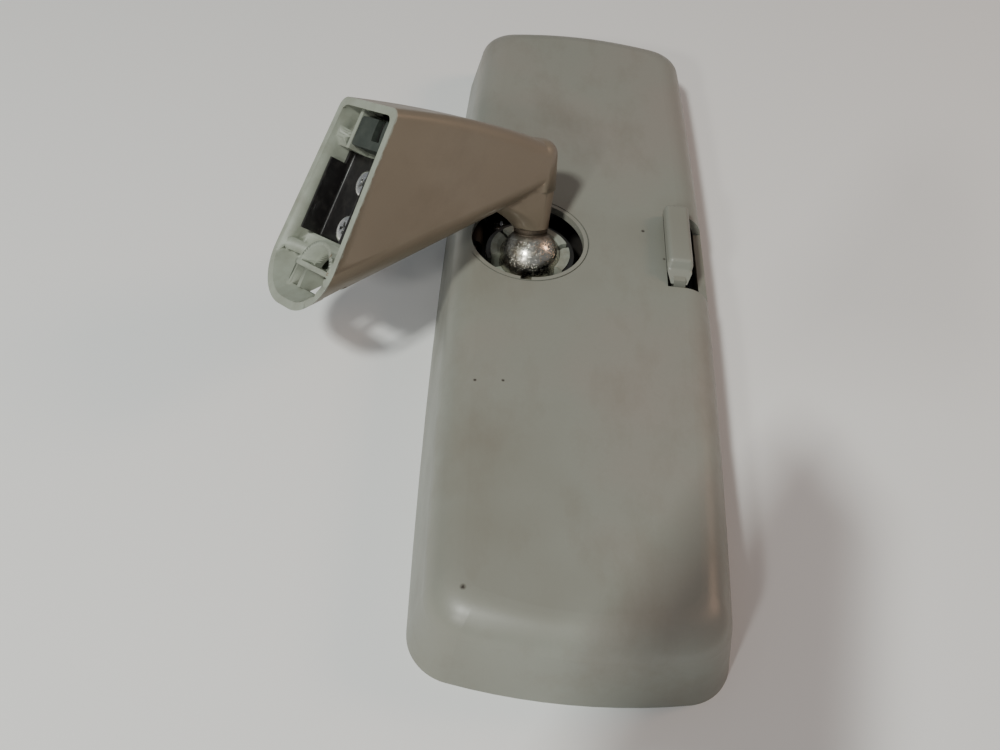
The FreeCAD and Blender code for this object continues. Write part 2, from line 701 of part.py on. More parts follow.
def mount_foot():
    """The hollow foot with its neck, shelf and moulded ribs."""
    foot = foot_form(0, (0, 0.35, 0.7, 1)).fuse(nose_form()).fuse(neck_form())
    hollow = foot_form(foot_wall, (-0.03, 0.2, 0.45, cavity_end))
    foot = foot.cut(hollow)
    limits = foot_form(foot_wall / 2, (0.02, 0.25, 0.5, cavity_end + 0.03))
    half = rim_half_width_low
    end = rim_length / 2
    inner = [in_rim(shelf_low, shelf_high, -half, half, -shelf_depth - shelf_thickness, -shelf_depth)]
    rib_x = shelf_low - rib_from_shelf
    floor_low = -pocket_floor - floor_thickness
    inner.append(in_rim(-end, shelf_low + 0.1, -half, half, floor_low, -pocket_floor))
    inner.append(in_rim(shelf_low, clip_low - 0.1, -half, half, -shelf_depth, -pocket_floor))
    inner.append(in_rim(rib_x, rib_x + rib_thickness, -half, rib_end, floor_low, -rib_drop))
    for y in (box_rib_near, rib_end - rib_thickness):
        inner.append(in_rim(rib_x - box_rib_length, rib_x + 0.5, y, y + rib_thickness, floor_low,
                            -rib_drop - 0.3))
    arch = Part.makeCylinder(arch_radius, 12, V(rib_x, arch_side, -12))
    arch = arch.cut(Part.makeCylinder(arch_radius - rib_thickness, 14, V(rib_x, arch_side, -13)))
    arch = arch.common(box(rib_x, shelf_low + 0.5, -half, half, floor_low, -rib_drop))
    inner.append(rim_shape(arch))
    inner.append(in_rim(latch_low, end, latch_side + 0.5, half, floor_low, -pocket_floor))
    inner.append(in_rim(clip_high + 0.1, clip_high + ledge_length, latch_side + 0.5, half,
                        -shelf_depth, -ledge_drop))
    inner.append(in_rim(latch_low - 1.0, shelf_high, latch_side + 0.3, latch_side + 0.3 + rib_thickness,
                        -shelf_depth - 0.5, -latch_depth))
    inner.append(in_rim(latch_low + 1.5, latch_low + 2.7, latch_side + 0.5, half, -shelf_depth - 0.5, -3.2))
    for x in (latch_low + 2.0, shelf_low - 3.4):
        pin = Part.makeCylinder(1.5, 12, V(x, half - 3.2, -13.2))
        inner.append(rim_shape(pin))
    for piece in inner:
        foot = foot.fuse(piece.common(limits))
    under_arch = Part.makeCylinder(arch_radius - rib_thickness - 0.6, floor_thickness + 1,
                                   V(rib_x, arch_side, floor_low - 0.5))
    near_y = -(rim_half_width_low - 2 * foot_wall)
    pockets = [under_arch.common(box(rib_x + rib_thickness, shelf_low - 0.6, -half, half, -20, 0))]
    for y0, y1 in ((near_y, box_rib_near), (box_rib_near + rib_thickness, rib_end - rib_thickness)):
        pockets.append(box(rib_x - box_rib_length, rib_x, y0, y1, floor_low - 0.5, 0))
    for pocket in pockets:
        foot = foot.cut(rim_shape(pocket))
    for x in (clip_screw_low, clip_screw_high):
        bore = Part.makeCylinder(clip_screw_diameter / 2 + pin_fit, shelf_thickness + 2,
                                 V(x, clip_screw_side, -shelf_depth - shelf_thickness - 1))
        foot = foot.cut(rim_shape(bore))
    foot = foot.cut(rim_shape(clip_block()))
    bore = Part.makeCylinder(spigot_radius + pin_fit, stud_depth + 1, V(0, 0, collar_top - 0.5))
    return foot.cut(bore)


def ball_stud():
    """The steel ball on its shank, with a grooved collar under the neck."""
    ball = Part.makeSphere(ball_diameter / 2)
    shank = Part.makeCylinder(neck_radius * 0.9, collar_top - 2.0, V(0, 0, 2.0))
    collar = Part.makeCylinder(neck_radius - 0.1, collar_top - collar_bottom - 0.05, V(0, 0, collar_bottom))
    spigot = Part.makeCylinder(spigot_radius, stud_depth, V(0, 0, collar_top - 1.0))
    stud = ball.fuse(shank).fuse(collar).fuse(spigot)
    groove = tube(0, 0, collar_bottom + 0.65, collar_bottom + 1.15, neck_radius + 1, neck_radius - 0.5)
    return stud.cut(groove)


def windscreen_clip():
    """The folded steel channel that slides over the windscreen button."""
    half = clip_width / 2
    wall_top = clip_floor + clip_wall_height
    base = clip_base
    lip_top = -clip_lip_drop
    outline_yz = [(-half, lip_top), (-half, base), (half, base), (half, wall_top),
                  (half - clip_sheet, wall_top), (half - clip_sheet, clip_floor),
                  (-half + clip_sheet, clip_floor), (-half + clip_sheet, lip_top - clip_sheet),
                  (-half + clip_lip, lip_top - clip_sheet), (-half + clip_lip, lip_top)]
    profile = [V(clip_low, y, z) for y, z in outline_yz]
    channel = Part.Face(Part.makePolygon(profile + profile[:1])).extrude(V(clip_high - clip_low, 0, 0))
    bends = edges_at(channel, lambda p: abs(abs(p.y) - half) < 0.01 and abs(p.z - base) < 0.01)
    channel = channel.makeFillet(clip_sheet + clip_fold, bends)
    for x in (clip_screw_low, clip_screw_high):
        hole = Part.makeCylinder(clip_screw_diameter / 2 + 0.1, 10, V(x, clip_screw_side, base - 3))
        channel = channel.cut(hole)
    step = box(clip_high - clip_step_length, clip_high + 1, half - 4.5, half + 1, clip_floor + 1.5, 5)
    return rim_shape(channel.cut(step))


def clip_screw(x):
    screw = pan_screw(clip_screw_diameter, clip_screw_length, screw_head_diameter, screw_head_height)
    screw.rotate(V(0, 0, 0), V(0, 0, 1), 25 + 8 * x)
    screw.translate(V(x, clip_screw_side, clip_floor))
    return rim_shape(screw)


def screw_seal(x):
    """A dab of lacquer on the clip's floor that seals the screw's head."""
    dab = Part.makeCylinder(seal_diameter / 2, seal_height, V(x, clip_screw_side + seal_offset, clip_floor))
    top_edge = edges_at(dab, lambda p: p.z > clip_floor + seal_height - 0.01)[:1]
    dab = dab.makeFillet(seal_height * 0.6, top_edge)
    head = Part.makeCylinder(screw_head_diameter / 2 + seal_fit, 2 * screw_head_height,
                             V(x, clip_screw_side, clip_floor - 1))
    return rim_shape(dab.cut(head))


def latch_block():
    """The block that stops the windscreen button at the end of the clip."""
    near_side = -(rim_half_width_high - foot_wall - 1.0)
    top = -latch_depth
    block = box(latch_low, latch_high - latch_stop_gap, near_side, latch_side, -shelf_depth + 0.05, top)
    uprights = [e for e in block.Edges if abs(e.tangentAt(0).z) > 0.9]
    block = block.makeFillet(0.8, uprights)
    middle = V(latch_low + 5, latch_arc_side, top - 7)
    slot = Part.makeCylinder(latch_arc, 9, middle + V(0, 0, 1))
    slot = slot.cut(Part.makeCylinder(latch_arc - latch_slot_width, 11, middle))
    slot = slot.common(box(latch_low + 2, latch_high + 2, near_side, latch_side, top - 4.5, top + 2))
    return rim_shape(block.cut(slot))


def latch_spring():
    """The bent leaf that lies in the block's slot."""
    top = -latch_depth - 1.2
    outer = latch_arc - 0.35
    middle = V(latch_low + 5, latch_arc_side, top - leaf_height)
    leaf = Part.makeCylinder(outer, leaf_height, middle)
    leaf = leaf.cut(Part.makeCylinder(outer - leaf_thickness, leaf_height + 2, middle - V(0, 0, 1)))
    near_side = -(rim_half_width_high - foot_wall - 1.3)
    window = box(latch_low + 2.4, latch_high - latch_stop_gap - 0.4, near_side, latch_side, top - 4, top + 2)
    return rim_shape(leaf.common(window))


# ---------------------------------------------------------------- write every piece
save("rear_housing", rear_housing())
save("prism_glass", prism_glass())
save("glass_backing_film", backing_film())
save("carrier_hinge_pin", hinge_pin())
save("lever_pivot_pin", lever_pin())
save("lever_detent_spring", detent_spring())
save("socket_carrier", socket_carrier())
save("socket_retainer_ring", socket_retainer())
save("retainer_screws", retainer_screw_set())
save("ball_socket", ball_socket())
save("socket_clamp_ring", clamp_ring())
save("ball_stud", lay_foot(ball_stud()))
save("mount_foot", lay_foot(mount_foot()))
save("windscreen_clip", lay_foot(windscreen_clip()))
save("clip_screw_upper", lay_foot(clip_screw(clip_screw_high)))
save("clip_screw_lower", lay_foot(clip_screw(clip_screw_low)))
save("screw_seal_upper", lay_foot(screw_seal(clip_screw_high)))
save("screw_seal_lower", lay_foot(screw_seal(clip_screw_low)))
save("latch_block", lay_foot(latch_block()))
save("latch_leaf_spring", lay_foot(latch_spring()))
save("day_night_lever", day_night_lever())
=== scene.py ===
# %% [markdown]
# # An interior mirror for a car, seen from its back
#
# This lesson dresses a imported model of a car's interior mirror. The mirror lies on its glass.
# A hollow foot stands on a ball joint in the middle of its back, and a small lever at one long
# side tips the glass for driving at night. The shapes of the moving parts come from the packed
# model and stay where they are. What Blender adds is the surface: plastic that has been handled
# for years, bare steel, black enamel, and the small pieces whose detail is too fine for the
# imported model.

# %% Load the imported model
import json
import math
import bpy
from mathutils import Matrix, Vector
from mathutils.bvhtree import BVHTree


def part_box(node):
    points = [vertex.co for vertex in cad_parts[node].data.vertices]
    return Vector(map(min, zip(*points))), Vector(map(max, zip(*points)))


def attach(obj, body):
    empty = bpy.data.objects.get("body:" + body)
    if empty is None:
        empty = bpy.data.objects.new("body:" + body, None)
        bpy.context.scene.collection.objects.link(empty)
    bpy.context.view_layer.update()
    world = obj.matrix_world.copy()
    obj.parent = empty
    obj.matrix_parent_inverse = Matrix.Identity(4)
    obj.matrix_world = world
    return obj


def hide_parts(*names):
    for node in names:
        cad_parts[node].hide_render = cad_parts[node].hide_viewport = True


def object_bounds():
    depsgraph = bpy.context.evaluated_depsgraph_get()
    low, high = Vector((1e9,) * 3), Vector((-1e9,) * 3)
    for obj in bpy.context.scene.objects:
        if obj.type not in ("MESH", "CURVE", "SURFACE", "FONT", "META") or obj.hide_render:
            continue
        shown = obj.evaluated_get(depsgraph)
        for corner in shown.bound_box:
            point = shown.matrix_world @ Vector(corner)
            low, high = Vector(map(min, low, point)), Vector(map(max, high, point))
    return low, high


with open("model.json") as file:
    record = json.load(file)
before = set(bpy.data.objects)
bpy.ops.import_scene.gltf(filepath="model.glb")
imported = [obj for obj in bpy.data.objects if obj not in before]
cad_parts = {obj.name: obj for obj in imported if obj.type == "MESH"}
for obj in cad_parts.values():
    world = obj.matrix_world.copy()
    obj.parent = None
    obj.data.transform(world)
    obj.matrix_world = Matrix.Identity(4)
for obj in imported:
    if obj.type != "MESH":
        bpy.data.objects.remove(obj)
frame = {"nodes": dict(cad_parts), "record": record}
cad_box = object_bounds()
nodes = frame["nodes"]
print("packed pieces:", len(nodes), "box:", cad_box)


# %% [markdown]
# ## The camera
#
# The camera looks down at the mirror from beyond its near end, a little from the left, and it is
# rolled so that the right side stands higher. A camera is an object like any other, so its three
# axes are written out and put in a matrix. That says exactly how it is turned, where three angles
# would have to be read in the right order.

# %% Place the camera
camera_place = Vector((-0.0295, -0.2060, 0.2044))
camera_right = Vector((0.99373, 0.05082, 0.09958))
camera_up = Vector((-0.10387, 0.74921, 0.65414))
camera_back = camera_right.cross(camera_up)

lens = bpy.data.cameras.new("view_from_near_end")
lens.sensor_width = 36.0
lens.lens = 38.88
lens.clip_start = 0.01
camera = bpy.data.objects.new("view_from_near_end", lens)
bpy.context.collection.objects.link(camera)
turned = Matrix((camera_right, camera_up, camera_back)).transposed()
camera.matrix_world = Matrix.Translation(camera_place) @ turned.to_4x4()
bpy.context.scene.camera = camera
print("camera is", round(camera_place.length, 3), "m from the glass")


# %% [markdown]
# ## Tools for finishes
#
# Every finish here is a Principled shader fed by a few patterns. A pattern reads the piece's own
# coordinates in metres, so that it stays on the piece when the piece moves, and so that one
# scale means the same size on every piece. These helpers keep each finish short: one starts the
# shader, one adds a noise, one turns a pattern into colours, and one turns it into bumps.

# %% Helpers for finishes
def start_finish(name, colour, roughness, metallic=0.0):
    """A material with its Principled shader set, and what the other helpers need of it."""
    finish = bpy.data.materials.new(name)
    finish.use_nodes = True
    tree = finish.node_tree
    shader = next(n for n in tree.nodes if n.type == "BSDF_PRINCIPLED")
    shader.inputs["Base Color"].default_value = (*colour, 1)
    shader.inputs["Roughness"].default_value = roughness
    shader.inputs["Metallic"].default_value = metallic
    where = tree.nodes.new("ShaderNodeTexCoord")
    return finish, tree, shader, where.outputs["Object"]


def noise(tree, where, scale, detail=4.0, rough=0.55, stretch=None):
    """A noise with so many bumps to the metre, drawn out along an axis if stretch says so."""
    if stretch:
        mapping = tree.nodes.new("ShaderNodeMapping")
        mapping.inputs["Scale"].default_value = stretch
        tree.links.new(where, mapping.inputs["Vector"])
        where = mapping.outputs["Vector"]
    node = tree.nodes.new("ShaderNodeTexNoise")
    node.inputs["Scale"].default_value = scale
    node.inputs["Detail"].default_value = detail
    node.inputs["Roughness"].default_value = rough
    tree.links.new(where, node.inputs["Vector"])
    return node.outputs["Fac"]


def ramp(tree, pattern, stops):
    """Turns a pattern into a colour: stops are (position, colour) from low to high."""
    node = tree.nodes.new("ShaderNodeValToRGB")
    bar = node.color_ramp
    while len(bar.elements) < len(stops):
        bar.elements.new(0.5)
    for element, (position, colour) in zip(bar.elements, stops):
        element.position = position
        element.color = (*colour, 1)
    tree.links.new(pattern, node.inputs["Fac"])
    return node.outputs["Color"]


def level(tree, pattern, low, high, to_low=0.0, to_high=1.0):
    """Maps a pattern from low..high to another range, and holds it inside that range."""
    node = tree.nodes.new("ShaderNodeMapRange")
    node.inputs["From Min"].default_value = low
    node.inputs["From Max"].default_value = high
    node.inputs["To Min"].default_value = to_low
    node.inputs["To Max"].default_value = to_high
    tree.links.new(pattern, node.inputs["Value"])
    return node.outputs["Result"]


def blend_colours(tree, share, first, second, way="MIX"):
    """Lays the second colour over the first, by share. Either may be a colour or a socket."""
    node = tree.nodes.new("ShaderNodeMix")
    node.data_type = "RGBA"
    node.blend_type = way
    for socket, value in ((node.inputs[0], share), (node.inputs[6], first), (node.inputs[7], second)):
        if isinstance(value, bpy.types.NodeSocket):
            tree.links.new(value, socket)
        elif isinstance(value, tuple):
            socket.default_value = (*value, 1)
        else:
            socket.default_value = value
    return node.outputs[2]


def bumps(tree, shader, *layers):
    """Adds bumps, coarse ones first: each layer is (pattern, height in metres, strength)."""
    normal = None
    for pattern, height, strength in layers:
        node = tree.nodes.new("ShaderNodeBump")
        node.inputs["Distance"].default_value = height
        node.inputs["Strength"].default_value = strength
        tree.links.new(pattern, node.inputs["Height"])
        if normal:
            tree.links.new(normal, node.inputs["Normal"])
        normal = node.outputs["Normal"]
    tree.links.new(normal, shader.inputs["Normal"])


print("helpers for finishes are ready")


# %% [markdown]
# ## Handled plastic
#
# The housing, the lever and the foot are moulded from one family of warm grey plastic. Years of
# hands and sun have left it uneven: a faint green in some places, pink in others, dull grime in
# soft patches, and a few dark specks. The mould gave it a fine grain that is only seen in the
# highlights. The base colour is therefore three noises of very different sizes laid over each
# other, and the grain is a bump and a change in roughness.

# %% Marks left by use
def marks(tree, where, spots):
    """Dark marks at chosen places: spots are (x, y, z, radius) in metres. Returns a mask."""
    ragged = level(tree, noise(tree, where, 1300, 3.0), 0.3, 0.7, 0.5, 1.4)
    total = None
    for x, y, z, radius in spots:
        gap = tree.nodes.new("ShaderNodeVectorMath")
        gap.operation = "DISTANCE"
        gap.inputs[1].default_value = (x, y, z)
        tree.links.new(where, gap.inputs[0])
        near = level(tree, gap.outputs["Value"], radius * 1.6, radius * 0.4)
        torn = tree.nodes.new("ShaderNodeMath")
        torn.operation = "MULTIPLY"
        torn.use_clamp = True
        tree.links.new(near, torn.inputs[0])
        tree.links.new(ragged, torn.inputs[1])
        if total is None:
            total = torn.outputs[0]
            continue
        more = tree.nodes.new("ShaderNodeMath")
        more.operation = "MAXIMUM"
        tree.links.new(total, more.inputs[0])
        tree.links.new(torn.outputs[0], more.inputs[1])
        total = more.outputs[0]
    return total


print("marks can be laid on any finish")


# %% The warm grey plastics
def handled_plastic(name, light, dark, tint, grime, roughness, spots):
    finish, tree, shader, where = start_finish(name, light, roughness)
    broad = noise(tree, where, 14, 3.0)
    colour = ramp(tree, broad, [(0.34, dark), (0.50, light), (0.68, tint)])
    smear = noise(tree, where, 55, 7.0, 0.68, stretch=(1.0, 0.5, 1.0))
    share = level(tree, smear, 0.50, 0.76, 0.0, 0.42)
    colour = blend_colours(tree, share, colour, grime)
    fine = noise(tree, where, 1100, 3.0)
    colour = blend_colours(tree, level(tree, fine, 0.35, 0.7, 0.0, 0.13), colour, dark)
    used = marks(tree, where, spots)
    colour = blend_colours(tree, used, colour, (0.025, 0.016, 0.011))
    tree.links.new(colour, shader.inputs["Base Color"])
    worn = level(tree, smear, 0.35, 0.72, roughness - 0.07, roughness + 0.12)
    tree.links.new(worn, shader.inputs["Roughness"])
    grain = noise(tree, where, 2600, 2.0)
    bumps(tree, shader, (broad, 0.0005, 0.2), (smear, 0.00012, 0.35), (grain, 0.00002, 0.5))
    return finish


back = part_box("rear_housing")[1][2]
housing_marks = [
    (0.0159, 0.0131, back, 0.0004), (0.0211, 0.0030, back, 0.0003),
    (-0.0249, -0.0449, back, 0.0003), (-0.0185, -0.0441, back, 0.0003),
    (-0.0237, -0.0982, back, 0.0005),
    (-0.0253, -0.1100, 0.0035, 0.0009), (-0.0235, -0.1105, 0.0030, 0.0008),
]
housing_plastic = handled_plastic("housing_plastic", (0.245, 0.250, 0.215), (0.215, 0.213, 0.178),
                                  (0.262, 0.243, 0.212), (0.165, 0.140, 0.108), 0.40, housing_marks)
print("housing plastic has", len(housing_marks), "marks")


# %% [markdown]
# ## Bare and coated metal
#
# The ball is bare steel that has turned in its socket for years. It is bright, but pitted and
# streaked, with warm stains where grease has dried. The screws are plated and almost clean. The
# clip and the retainer are black enamel on steel, rubbed thin in places, and the springs are
# dark. The bare metals use the metallic setting, and differ in colour, roughness and how deep
# their pits are. The enamel is a paint, so it doesn't.

# %% Metals
def worn_metal(name, bright, stain, roughness, pits, stained=0.5):
    finish, tree, shader, where = start_finish(name, bright, roughness, 1.0)
    cloud = noise(tree, where, 240, 5.0, 0.6)
    fine = noise(tree, where, 1500, 4.0, 0.7)
    share = level(tree, cloud, 0.45, 0.72, 0.0, stained)
    colour = blend_colours(tree, share, bright, stain)
    tree.links.new(colour, shader.inputs["Base Color"])
    dull = level(tree, cloud, 0.35, 0.7, roughness * 0.7, roughness * 1.5)
    tree.links.new(dull, shader.inputs["Roughness"])
    bumps(tree, shader, (cloud, pits * 2, 0.35), (level(tree, fine, 0.5, 0.68), pits, 0.5))
    return finish


plated = worn_metal("screw_zinc", (0.86, 0.86, 0.85), (0.55, 0.50, 0.44), 0.16, 0.00001, 0.2)
pin_steel = worn_metal("pin_steel", (0.62, 0.62, 0.62), (0.40, 0.36, 0.32), 0.30, 0.00001, 0.3)
spring_steel = worn_metal("spring_steel", (0.12, 0.115, 0.11), (0.07, 0.055, 0.045), 0.42, 0.00001)


def black_enamel(name, roughness):
    finish, tree, shader, where = start_finish(name, (0.010, 0.009, 0.009), roughness)
    rub = noise(tree, where, 500, 6.0, 0.7)
    colour = ramp(tree, rub, [(0.50, (0.008, 0.007, 0.007)), (0.80, (0.030, 0.026, 0.023))])
    tree.links.new(colour, shader.inputs["Base Color"])
    tree.links.new(level(tree, rub, 0.4, 0.7, roughness, roughness + 0.15), shader.inputs["Roughness"])
    bumps(tree, shader, (noise(tree, where, 1800, 2.0), 0.00001, 0.4))
    return finish


clip_enamel = black_enamel("clip_steel", 0.30)
retainer_enamel = black_enamel("retainer_steel", 0.45)
print("metals:", [m.name for m in (plated, pin_steel, spring_steel, clip_enamel)])


# %% [markdown]
# ## The plastics inside
#
# The socket that grips the ball is a pale, waxy bearing plastic, but most of it is coloured a
# dark brown: partly dust and partly painted shade in the hole around the ball. The carrier under
# it is black. The latch block in the foot is coloured a dark grey-green, which is painted shade:
# the colour of the shaded floor of the foot there. They were never meant to be seen, so they are
# matt and even, and the carrier and the latch show only a little dust. One helper makes all
# three: a colour, a second colour for dust and painted shade, and how much of it shows.

# %% Inner plastics
def inner_plastic(name, colour, dust_and_shade, share, roughness):
    finish, tree, shader, where = start_finish(name, colour, roughness)
    cloud = noise(tree, where, 220, 5.0)
    mixed = blend_colours(tree, level(tree, cloud, 0.42, 0.75, 0.0, share), colour, dust_and_shade)
    tree.links.new(mixed, shader.inputs["Base Color"])
    bumps(tree, shader, (noise(tree, where, 1600, 2.0), 0.00002, 0.6))
    return finish


# Painted shade, partly dust: most of the socket's pale plastic is covered by a dark brown, as the hole
# around the ball looks in shade.
socket_plastic = inner_plastic("socket_plastic", (0.30, 0.32, 0.27), (0.10, 0.08, 0.055), 0.75, 0.42)
carrier_plastic = inner_plastic("carrier_plastic", (0.015, 0.014, 0.013), (0.07, 0.06, 0.05), 0.4, 0.5)
# Painted shade: this dark grey-green is the colour of the foot's shaded floor where the latch sits.
latch_plastic = inner_plastic("latch_plastic", (0.030, 0.037, 0.031), (0.085, 0.095, 0.080), 0.45, 0.5)
film = inner_plastic("film", (0.05, 0.055, 0.06), (0.10, 0.10, 0.10), 0.3, 0.55)
seal_lacquer = inner_plastic("seal_lacquer", (0.55, 0.05, 0.02), (0.30, 0.04, 0.02), 0.5, 0.25)
print("inner plastics are ready")


# %% [markdown]
# ## The glass
#
# The glass is a mirror: silver behind, so that from the front only a reflection is seen. A fully
# metallic surface with almost no roughness looks the same and costs far less than light that
# goes through glass and back. Faint smears in the roughness make it look wiped, not computed.

# %% Mirror glass
mirror_glass, glass_tree, glass_shader, glass_where = start_finish(
    "mirror_glass", (0.86, 0.88, 0.90), 0.03, 1.0)
wiped = noise(glass_tree, glass_where, 40, 5.0, 0.6, stretch=(1.0, 0.3, 1.0))
glass_tree.links.new(level(glass_tree, wiped, 0.4, 0.75, 0.02, 0.10), glass_shader.inputs["Roughness"])
print("glass:", mirror_glass.name)


# %% [markdown]
# ## Two faces of the foot
#
# The foot was sprayed on the outside after moulding, in a brown-grey. That outer colour is darker
# and browner than the housing's: partly the paint and its handling, and partly painted shade and
# warm light, taken from the foot's side that lies in shade. Inside it, and on its rim, the bare
# pale plastic shows. The spray is thinnest at the rim's edge, so that it has flaked there. The
# outer finish therefore knows how far a point is from the rim's plane, which is a dot product with
# the direction in which the foot opens, and it turns pale within a ragged fraction of a
# millimetre of it.

# %% Directions of the foot
joints = {j["name"]: j for j in frame["record"]["behaviour"]["joints"]}
mounts = {m["name"]: m for m in frame["record"]["mounts"]}
neck_way = Vector(joints["ball_turn"]["axis"]).normalized()
rim_along = -Vector(mounts["windscreen_clip_slide"]["axis"]).normalized()
rim_across = neck_way.cross(rim_along).normalized()
rim_out = rim_along.cross(rim_across).normalized()
ball_middle = Vector(joints["ball_turn"]["pos_m"])


def reach(node, way):
    """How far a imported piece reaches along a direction, lowest and highest."""
    steps = [Vector(v.co).dot(way) for v in nodes[node].data.vertices]
    return min(steps), max(steps)


rim_level = reach("mount_foot", rim_out)[1]
foot_turn = Matrix((rim_along, rim_across, rim_out)).transposed()
print("the foot opens towards", [round(v, 3) for v in rim_out], "at", round(rim_level, 4))


# %% Foot finishes
def below_rim(tree, where):
    """Depth of a point below the rim's plane, in metres."""
    dot = tree.nodes.new("ShaderNodeVectorMath")
    dot.operation = "DOT_PRODUCT"
    dot.inputs[1].default_value = rim_out
    tree.links.new(where, dot.inputs[0])
    away = tree.nodes.new("ShaderNodeMath")
    away.operation = "SUBTRACT"
    away.inputs[0].default_value = rim_level
    tree.links.new(dot.outputs["Value"], away.inputs[1])
    return away.outputs[0]


foot_marks = [(-0.0401, -0.0232, 0.0487, 0.0004), (-0.0352, -0.0270, 0.0400, 0.0006),
              (-0.0330, -0.0268, 0.0384, 0.0008), (-0.0283, -0.0166, 0.0296, 0.0010)]
# Partly painted shade: the outer brown-grey is darker and warmer than the housing, as the foot's shaded
# side looks under the warm fill.
foot_outside = handled_plastic("foot_outside", (0.195, 0.158, 0.113), (0.170, 0.137, 0.096),
                               (0.205, 0.172, 0.130), (0.120, 0.090, 0.060), 0.38, foot_marks)
outer_tree = foot_outside.node_tree
outer_shader = next(n for n in outer_tree.nodes if n.type == "BSDF_PRINCIPLED")
outer_where = next(n for n in outer_tree.nodes if n.type == "TEX_COORD").outputs["Object"]
flakes = noise(outer_tree, outer_where, 420, 4.0, 0.7)
ragged_edge = level(outer_tree, flakes, 0.3, 0.7, -0.0002, 0.00045)
edge_depth = outer_tree.nodes.new("ShaderNodeMath")
edge_depth.operation = "SUBTRACT"
outer_tree.links.new(below_rim(outer_tree, outer_where), edge_depth.inputs[0])
outer_tree.links.new(ragged_edge, edge_depth.inputs[1])
flaked = level(outer_tree, edge_depth.outputs[0], 0.0003, 0.0)
sprayed_and_shaded = outer_shader.inputs["Base Color"].links[0].from_socket
outer_tree.links.new(blend_colours(outer_tree, flaked, sprayed_and_shaded, (0.30, 0.31, 0.26)),
                     outer_shader.inputs["Base Color"])

foot_inside = inner_plastic("foot_inside", (0.29, 0.31, 0.255), (0.17, 0.165, 0.125), 0.55, 0.5)
print("foot finishes:", foot_outside.name, foot_inside.name)


# %% [markdown]
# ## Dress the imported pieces
#
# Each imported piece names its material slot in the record, so one table from slot to finish
# dresses them all. The pieces keep their meshes: only the material in their slots changes.

# %% Assign finishes by slot
finishes = {
    "housing_plastic": housing_plastic, "mirror_glass": mirror_glass, "film": film,
    "pin_steel": pin_steel, "spring_steel": spring_steel, "carrier_plastic": carrier_plastic,
    "retainer_steel": retainer_enamel, "socket_plastic": socket_plastic, "ball_steel": pin_steel,
    "foot_plastic": foot_inside, "clip_steel": clip_enamel, "screw_zinc": plated,
    "seal_lacquer": seal_lacquer, "latch_plastic": latch_plastic,
}
for part in frame["record"]["subparts"]:
    piece = nodes[part["node"]]
    piece.data.materials.clear()
    piece.data.materials.append(finishes[part["material_slot"]])


# %% [markdown]
# ## The foot's shell
#
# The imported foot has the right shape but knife-sharp edges, and one surface for both finishes.
# A copy of its mesh keeps the shape. Its doubled corners are merged first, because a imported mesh
# is loose triangles. Each face then gets a finish: a ray from the face, away from the foot's
# middle line, meets a wall again only if the face lies inside. Faces on the rim are bare too.

# %% Tools for making pieces
def only(piece):
    """Makes a piece the only selected object and the active one."""
    bpy.ops.object.select_all(action="DESELECT")
    piece.select_set(True)
    bpy.context.view_layer.objects.active = piece


def copy_of(node, name):
    """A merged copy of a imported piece's mesh, as a new object."""
    piece = bpy.data.objects.new(name, nodes[node].data.copy())
    bpy.context.collection.objects.link(piece)
    piece.data.materials.clear()
    only(piece)
    bpy.ops.object.mode_set(mode="EDIT")
    bpy.ops.mesh.select_all(action="SELECT")
    bpy.ops.mesh.remove_doubles(threshold=0.000002)
    bpy.ops.object.mode_set(mode="OBJECT")
    return piece


def settle(piece, finish, body, slot, *stands_for):
    """Gives a finished piece its material, hangs it on its body's empty, and hides the pieces it
    replaces.
    """
    if finish is not None:
        piece.data.materials.clear()
        piece.data.materials.append(finish)
    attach(piece, body)
    if stands_for:
        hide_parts(*stands_for)
    print(piece.name, "has", len(piece.data.polygons), "faces")
    return piece


def apply_modifier(piece, kind, **settings):
    """Adds a modifier with these settings and applies it."""
    only(piece)
    modifier = piece.modifiers.new(kind.lower(), kind)
    for key, value in settings.items():
        setattr(modifier, key, value)
    bpy.ops.object.modifier_apply(modifier=modifier.name)


def smooth(piece, degrees):
    """Shades a piece smooth, but keeps edges that turn by more than the angle."""
    only(piece)
    bpy.ops.object.shade_smooth_by_angle(angle=math.radians(degrees))


# %% The foot in its two finishes
nose_height = 0.0245
ray_start = 0.0002
ray_length = 0.03
rim_band = 0.0004
hollow_depth = 0.043
foot = copy_of("mount_foot", "foot_shell")
foot.data.materials.append(foot_outside)
foot.data.materials.append(foot_inside)
walls = BVHTree.FromPolygons([v.co for v in foot.data.vertices],
                             [tuple(p.vertices) for p in foot.data.polygons])
rim_middle = sum((sum(reach("mount_foot", way)) / 2 * way for way in (rim_along, rim_across)),
                 rim_level * rim_out)
nose_middle = ball_middle + neck_way * nose_height
middle_line = (nose_middle - rim_middle).normalized()
inside_count = 0
for face in foot.data.polygons:
    spot = face.center.copy()
    share = max(0.0, (spot - rim_middle).dot(middle_line))
    away = (spot - rim_middle) - middle_line * share
    away = (away - rim_out * away.dot(rim_out)).normalized()
    hidden = walls.ray_cast(spot + away * ray_start, away, ray_length)[0] is not None
    on_rim = face.normal.dot(rim_out) > 0.9 and spot.dot(rim_out) > rim_level - rim_band
    far_down = (spot - rim_middle).dot(middle_line) > hollow_depth
    if (hidden or on_rim or face.normal.dot(away) < -0.2) and not far_down:
        face.material_index = 1
        inside_count += 1
print(inside_count, "of", len(foot.data.polygons), "faces are bare inside")
smooth(foot, 32)
settle(foot, None, "foot", "foot_plastic", "mount_foot")
